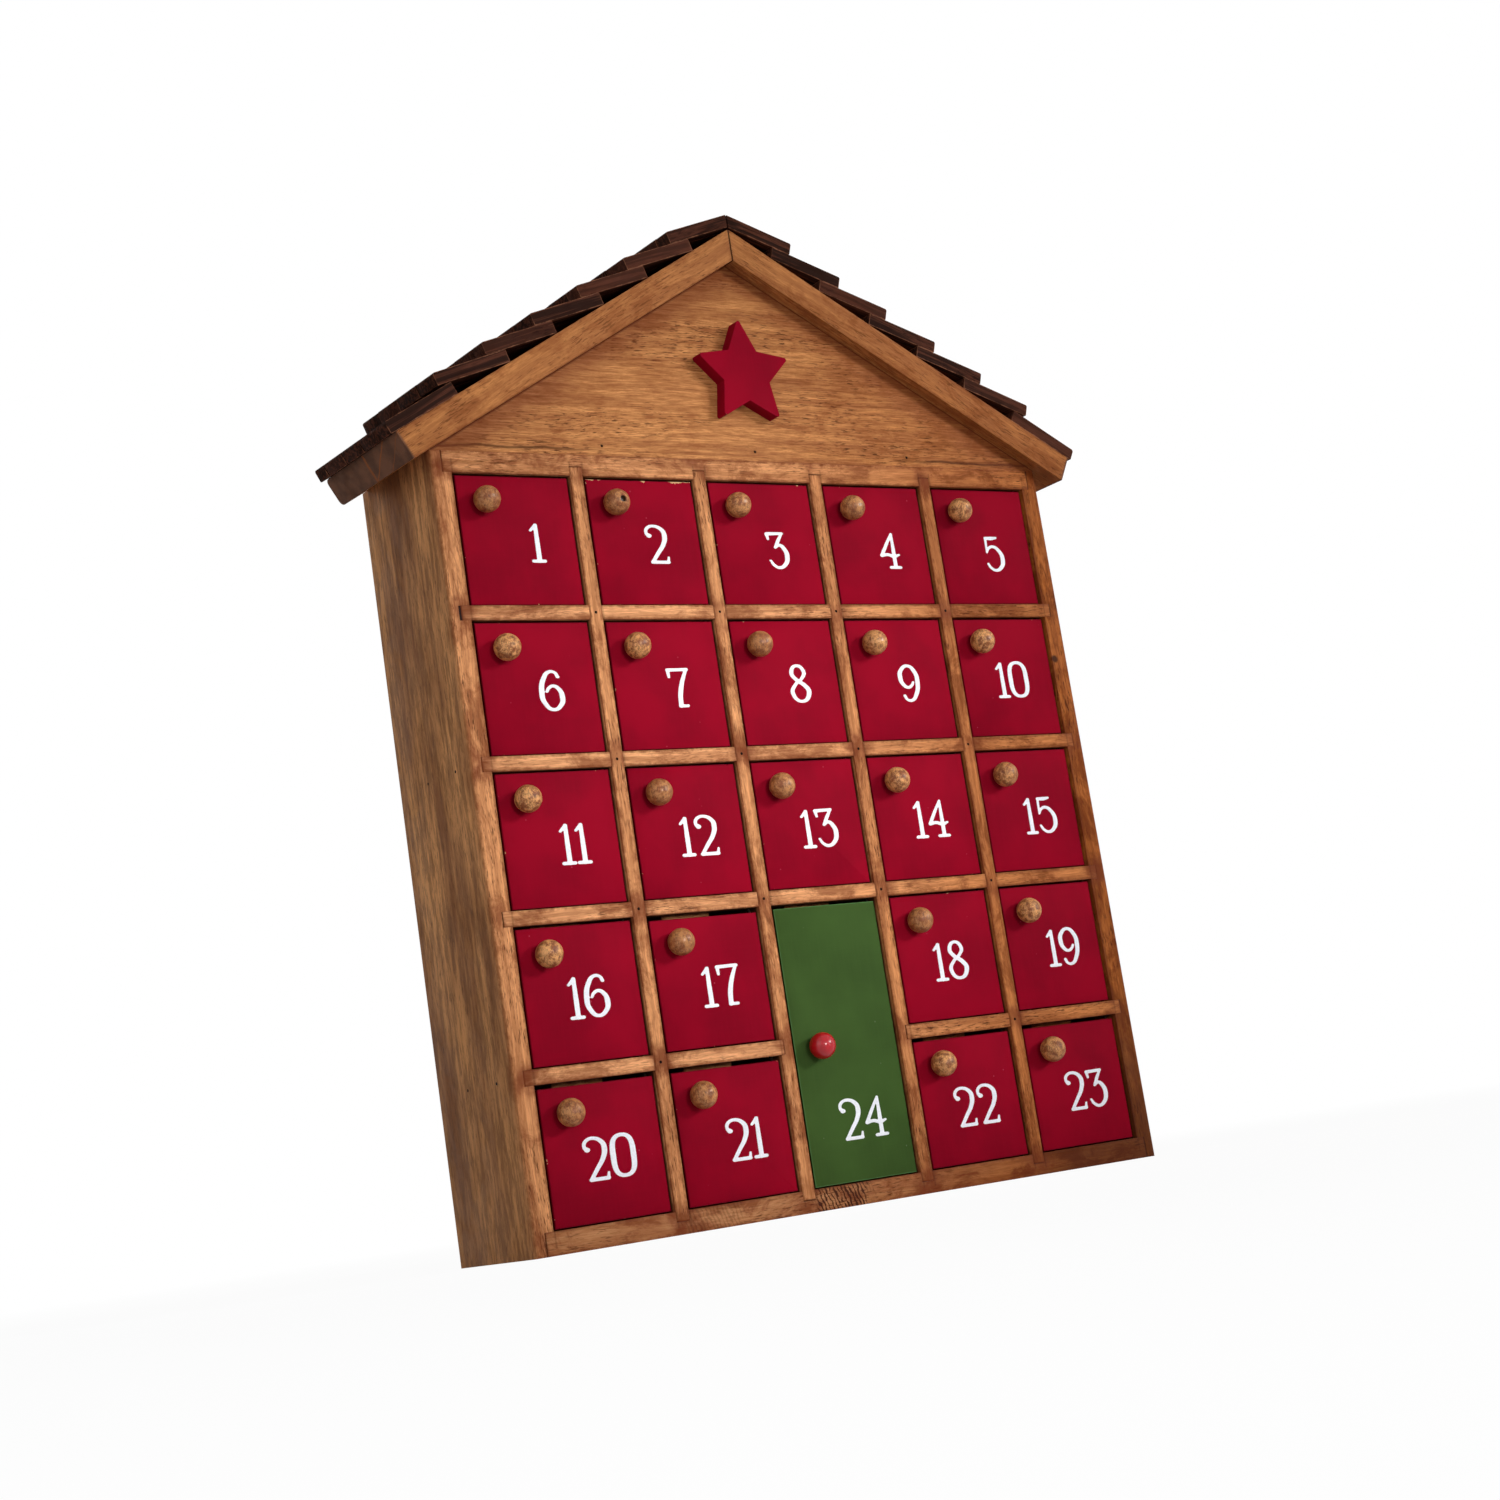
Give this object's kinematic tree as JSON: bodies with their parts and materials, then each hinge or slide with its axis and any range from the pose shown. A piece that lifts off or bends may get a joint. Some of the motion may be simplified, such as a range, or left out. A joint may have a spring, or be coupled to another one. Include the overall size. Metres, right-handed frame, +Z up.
{
  "type": "advent calendar cabinet",
  "caption": "House-shaped wooden cabinet with a grid of small hinged doors with ball knobs, one tall middle door, and a pitched roof of overlapping shingles.",
  "frame": {"origin": "middle of the footprint, on the surface that the cabinet stands on", "axes": "+X to the right across the front, +Y from the front into the depth, +Z up"},
  "size_m": [0.3592, 0.069, 0.4278],
  "materials": {
    "pine": "stained and waxed front edges",
    "side_pine": "darker stained face with streaks",
    "roof_pine": "stained, with darker end grain at the eaves",
    "plywood": "plain thin board",
    "dark_shingle": "dark stained, worn to lighter arrises",
    "red_paint": "satin paint with small chips at the edges",
    "green_paint": "satin paint",
    "bead_wood": "bare mottled wood",
    "red_gloss": "gloss paint",
    "steel": "drawn wire"
  },
  "bodies": {
    "cabinet": {"side_panels": "side_pine", "top_board": "pine", "bottom_board": "pine", "back_panel": "plywood", "uprights": "pine", "shelves": "pine", "gable_panel": "pine", "roof_boards": "roof_pine", "shingles": "dark_shingle", "star": "red_paint", "steel_pins": "steel", "door_stops": "pine"},
    "door_body_01": {"door_01": "red_paint", "knob_01": "bead_wood"},
    "door_body_02": {"door_02": "red_paint", "knob_02": "bead_wood"},
    "door_body_03": {"door_03": "red_paint", "knob_03": "bead_wood"},
    "door_body_04": {"door_04": "red_paint", "knob_04": "bead_wood"},
    "door_body_05": {"door_05": "red_paint", "knob_05": "bead_wood"},
    "door_body_06": {"door_06": "red_paint", "knob_06": "bead_wood"},
    "door_body_07": {"door_07": "red_paint", "knob_07": "bead_wood"},
    "door_body_08": {"door_08": "red_paint", "knob_08": "bead_wood"},
    "door_body_09": {"door_09": "red_paint", "knob_09": "bead_wood"},
    "door_body_10": {"door_10": "red_paint", "knob_10": "bead_wood"},
    "door_body_11": {"door_11": "red_paint", "knob_11": "bead_wood"},
    "door_body_12": {"door_12": "red_paint", "knob_12": "bead_wood"},
    "door_body_13": {"door_13": "red_paint", "knob_13": "bead_wood"},
    "door_body_14": {"door_14": "red_paint", "knob_14": "bead_wood"},
    "door_body_15": {"door_15": "red_paint", "knob_15": "bead_wood"},
    "door_body_16": {"door_16": "red_paint", "knob_16": "bead_wood"},
    "door_body_17": {"door_17": "red_paint", "knob_17": "bead_wood"},
    "door_body_18": {"door_18": "red_paint", "knob_18": "bead_wood"},
    "door_body_19": {"door_19": "red_paint", "knob_19": "bead_wood"},
    "door_body_20": {"door_20": "red_paint", "knob_20": "bead_wood"},
    "door_body_21": {"door_21": "red_paint", "knob_21": "bead_wood"},
    "door_body_22": {"door_22": "red_paint", "knob_22": "bead_wood"},
    "door_body_23": {"door_23": "red_paint", "knob_23": "bead_wood"},
    "door_body_24": {"door_24": "green_paint", "knob_24": "red_gloss"}
  },
  "joints": [
    {"name": "door_hinge_01", "type": "hinge", "parent": "cabinet", "child": "door_body_01", "pos_m": [-0.0976, -0.022, 0.2805], "axis": [0, 0, 1], "range_deg": [0, 95]},
    {"name": "door_hinge_02", "type": "hinge", "parent": "cabinet", "child": "door_body_02", "pos_m": [-0.0366, -0.022, 0.2805], "axis": [0, 0, 1], "range_deg": [0, 95]},
    {"name": "door_hinge_03", "type": "hinge", "parent": "cabinet", "child": "door_body_03", "pos_m": [0.0244, -0.022, 0.2805], "axis": [0, 0, 1], "range_deg": [0, 95]},
    {"name": "door_hinge_04", "type": "hinge", "parent": "cabinet", "child": "door_body_04", "pos_m": [0.0854, -0.022, 0.2805], "axis": [0, 0, 1], "range_deg": [0, 95]},
    {"name": "door_hinge_05", "type": "hinge", "parent": "cabinet", "child": "door_body_05", "pos_m": [0.1464, -0.022, 0.2805], "axis": [0, 0, 1], "range_deg": [0, 95]},
    {"name": "door_hinge_06", "type": "hinge", "parent": "cabinet", "child": "door_body_06", "pos_m": [-0.0976, -0.022, 0.2195], "axis": [0, 0, 1], "range_deg": [0, 95]},
    {"name": "door_hinge_07", "type": "hinge", "parent": "cabinet", "child": "door_body_07", "pos_m": [-0.0366, -0.022, 0.2195], "axis": [0, 0, 1], "range_deg": [0, 95]},
    {"name": "door_hinge_08", "type": "hinge", "parent": "cabinet", "child": "door_body_08", "pos_m": [0.0244, -0.022, 0.2195], "axis": [0, 0, 1], "range_deg": [0, 95]},
    {"name": "door_hinge_09", "type": "hinge", "parent": "cabinet", "child": "door_body_09", "pos_m": [0.0854, -0.022, 0.2195], "axis": [0, 0, 1], "range_deg": [0, 95]},
    {"name": "door_hinge_10", "type": "hinge", "parent": "cabinet", "child": "door_body_10", "pos_m": [0.1464, -0.022, 0.2195], "axis": [0, 0, 1], "range_deg": [0, 95]},
    {"name": "door_hinge_11", "type": "hinge", "parent": "cabinet", "child": "door_body_11", "pos_m": [-0.0976, -0.022, 0.1585], "axis": [0, 0, 1], "range_deg": [0, 95]},
    {"name": "door_hinge_12", "type": "hinge", "parent": "cabinet", "child": "door_body_12", "pos_m": [-0.0366, -0.022, 0.1585], "axis": [0, 0, 1], "range_deg": [0, 95]},
    {"name": "door_hinge_13", "type": "hinge", "parent": "cabinet", "child": "door_body_13", "pos_m": [0.0244, -0.022, 0.1585], "axis": [0, 0, 1], "range_deg": [0, 95]},
    {"name": "door_hinge_14", "type": "hinge", "parent": "cabinet", "child": "door_body_14", "pos_m": [0.0854, -0.022, 0.1585], "axis": [0, 0, 1], "range_deg": [0, 95]},
    {"name": "door_hinge_15", "type": "hinge", "parent": "cabinet", "child": "door_body_15", "pos_m": [0.1464, -0.022, 0.1585], "axis": [0, 0, 1], "range_deg": [0, 95]},
    {"name": "door_hinge_16", "type": "hinge", "parent": "cabinet", "child": "door_body_16", "pos_m": [-0.0976, -0.022, 0.0975], "axis": [0, 0, 1], "range_deg": [0, 95]},
    {"name": "door_hinge_17", "type": "hinge", "parent": "cabinet", "child": "door_body_17", "pos_m": [-0.0366, -0.022, 0.0975], "axis": [0, 0, 1], "range_deg": [0, 95]},
    {"name": "door_hinge_18", "type": "hinge", "parent": "cabinet", "child": "door_body_18", "pos_m": [0.0854, -0.022, 0.0975], "axis": [0, 0, 1], "range_deg": [0, 95]},
    {"name": "door_hinge_19", "type": "hinge", "parent": "cabinet", "child": "door_body_19", "pos_m": [0.1464, -0.022, 0.0975], "axis": [0, 0, 1], "range_deg": [0, 95]},
    {"name": "door_hinge_20", "type": "hinge", "parent": "cabinet", "child": "door_body_20", "pos_m": [-0.0976, -0.022, 0.0365], "axis": [0, 0, 1], "range_deg": [0, 95]},
    {"name": "door_hinge_21", "type": "hinge", "parent": "cabinet", "child": "door_body_21", "pos_m": [-0.0366, -0.022, 0.0365], "axis": [0, 0, 1], "range_deg": [0, 95]},
    {"name": "door_hinge_22", "type": "hinge", "parent": "cabinet", "child": "door_body_22", "pos_m": [0.0854, -0.022, 0.0365], "axis": [0, 0, 1], "range_deg": [0, 95]},
    {"name": "door_hinge_23", "type": "hinge", "parent": "cabinet", "child": "door_body_23", "pos_m": [0.1464, -0.022, 0.0365], "axis": [0, 0, 1], "range_deg": [0, 95]},
    {"name": "door_hinge_24", "type": "hinge", "parent": "cabinet", "child": "door_body_24", "pos_m": [0.0244, -0.022, 0.067], "axis": [0, 0, 1], "range_deg": [0, 95]}
  ]
}
